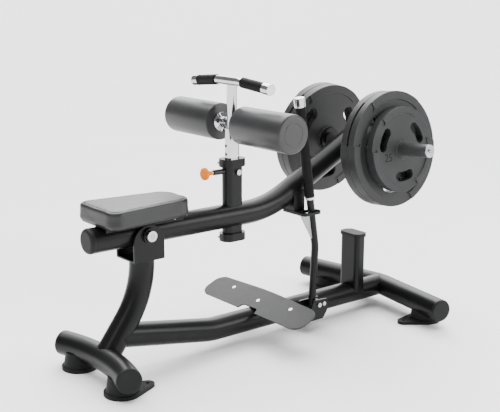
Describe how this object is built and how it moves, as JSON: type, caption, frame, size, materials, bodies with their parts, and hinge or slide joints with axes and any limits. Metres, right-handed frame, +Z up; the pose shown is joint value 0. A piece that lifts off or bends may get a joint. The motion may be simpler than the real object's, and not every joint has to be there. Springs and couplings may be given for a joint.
{
  "type": "seated calf raise machine",
  "caption": "Plate-loaded seated calf raise machine: bent-tube frame, pivoting arm with seat, knee rollers and loaded horns, catch lever and sloping foot plate.",
  "frame": {"origin": "on the floor, below the middle of the bounding box", "axes": "+X from the seat towards the weight horns, +Y to the side away from the catch lever, +Z up"},
  "size_m": [1.4966, 0.8232, 1.0195],
  "materials": {
    "frame_paint": "satin powder coat",
    "dark_plastic": "moulded, fine texture",
    "foot_rubber": "moulded, matte",
    "bright_steel": "zinc plated",
    "step_metal": "textured, slip resistant",
    "bush_plastic": "turned",
    "vinyl": "grained vinyl",
    "seat_wood": "plywood, sealed black edges",
    "chrome": "polished",
    "barrel_black": "black oxide",
    "orange_plastic": "polished",
    "grip_rubber": "matte, fine ribs",
    "plate_iron": "matte dark coating"
  },
  "bodies": {
    "frame": {"rear_crossbar": "frame_paint", "front_crossbar": "frame_paint", "base_tube": "frame_paint", "upright": "frame_paint", "crossbar_caps": "dark_plastic", "rear_feet": "foot_rubber", "front_feet": "foot_rubber", "pivot_bracket": "frame_paint", "pivot_axle": "bright_steel", "axle_spacers": "frame_paint", "foot_plate": "step_metal", "foot_plate_bolts": "bright_steel", "foot_plate_support": "frame_paint", "stop_post": "frame_paint", "stop_post_cap": "dark_plastic", "lever_bracket": "frame_paint", "lever_pivot_bolt": "bright_steel", "lever_stay_bolt": "bright_steel"},
    "arm": {"arm_tube": "frame_paint", "horn_crossbar": "frame_paint", "arm_rear_cap": "dark_plastic", "arm_front_cap": "dark_plastic", "pivot_hub": "frame_paint", "pivot_bushes": "bush_plastic", "seat_pad": "vinyl", "seat_board": "seat_wood", "seat_saddle": "frame_paint", "seat_bolts": "bright_steel", "post_sleeve": "frame_paint", "sleeve_top_collar": "frame_paint", "sleeve_bottom_collar": "frame_paint", "jam_bolt": "bright_steel", "pin_barrel": "barrel_black", "weight_horns": "frame_paint", "horn_flanges": "frame_paint", "horn_end_bolts": "bright_steel", "catch_bracket": "frame_paint", "catch_loop": "frame_paint"},
    "pull_pin": {"pin_rod": "chrome", "pin_knob": "orange_plastic"},
    "knee_post": {"knee_post": "chrome", "handle_stem": "chrome", "handle_bar": "chrome", "handle_grips": "grip_rubber", "handle_end_caps": "chrome", "roller_axle": "chrome"},
    "roller_right": {"roller_core_right": "chrome", "roller_pad_right": "vinyl"},
    "roller_left": {"roller_core_left": "chrome", "roller_pad_left": "vinyl"},
    "catch_lever": {"lever_tube": "frame_paint", "lever_catch": "bright_steel", "lever_grip": "grip_rubber", "lever_trim": "chrome"},
    "plate_right_inner": {"plate_right_inner": "plate_iron"},
    "plate_right_middle": {"plate_right_middle": "plate_iron"},
    "plate_right_outer": {"plate_right_outer": "plate_iron"},
    "plate_left_inner": {"plate_left_inner": "plate_iron"},
    "plate_left_middle": {"plate_left_middle": "plate_iron"},
    "plate_left_outer": {"plate_left_outer": "plate_iron"}
  },
  "joints": [
    {"name": "arm_pivot", "type": "hinge", "parent": "frame", "child": "arm", "pos_m": [-0.5088, 0, 0.5035], "axis": [0, -1, 0], "range_deg": [0, 13]},
    {"name": "catch_lever_pivot", "type": "hinge", "parent": "frame", "child": "catch_lever", "pos_m": [0.245, -0.08, 0.105], "axis": [0, 1, 0], "range_deg": [0, 2]},
    {"name": "knee_post_slide", "type": "slide", "parent": "arm", "child": "knee_post", "axis": [0, 0, 1], "range_m": [-0.093, 0.093]},
    {"name": "pull_pin_slide", "type": "slide", "parent": "arm", "child": "pull_pin", "axis": [-1, 0, 0], "range_m": [0, 0.012], "stiffness_N_per_m": 1200, "springref_m": -0.006},
    {"name": "roller_right_spin", "type": "hinge", "parent": "knee_post", "child": "roller_right", "pos_m": [-0.1045, -0.2, 0.846], "axis": [0, 1, 0], "continuous": true},
    {"name": "roller_left_spin", "type": "hinge", "parent": "knee_post", "child": "roller_left", "pos_m": [-0.1045, 0.2, 0.846], "axis": [0, 1, 0], "continuous": true},
    {"name": "plate_right_inner_slide", "type": "slide", "parent": "arm", "child": "plate_right_inner", "axis": [0, -0.9963, 0.0865], "range_m": [0, 0.26]},
    {"name": "plate_right_middle_slide", "type": "slide", "parent": "plate_right_inner", "child": "plate_right_middle", "axis": [0, -0.9963, 0.0865], "range_m": [0, 0.22]},
    {"name": "plate_right_outer_slide", "type": "slide", "parent": "plate_right_middle", "child": "plate_right_outer", "axis": [0, -0.9963, 0.0865], "range_m": [0, 0.18]},
    {"name": "plate_left_inner_slide", "type": "slide", "parent": "arm", "child": "plate_left_inner", "axis": [0, 0.9963, 0.0865], "range_m": [0, 0.26]},
    {"name": "plate_left_middle_slide", "type": "slide", "parent": "plate_left_inner", "child": "plate_left_middle", "axis": [0, 0.9963, 0.0865], "range_m": [0, 0.22]},
    {"name": "plate_left_outer_slide", "type": "slide", "parent": "plate_left_middle", "child": "plate_left_outer", "axis": [0, 0.9963, 0.0865], "range_m": [0, 0.18]}
  ]
}
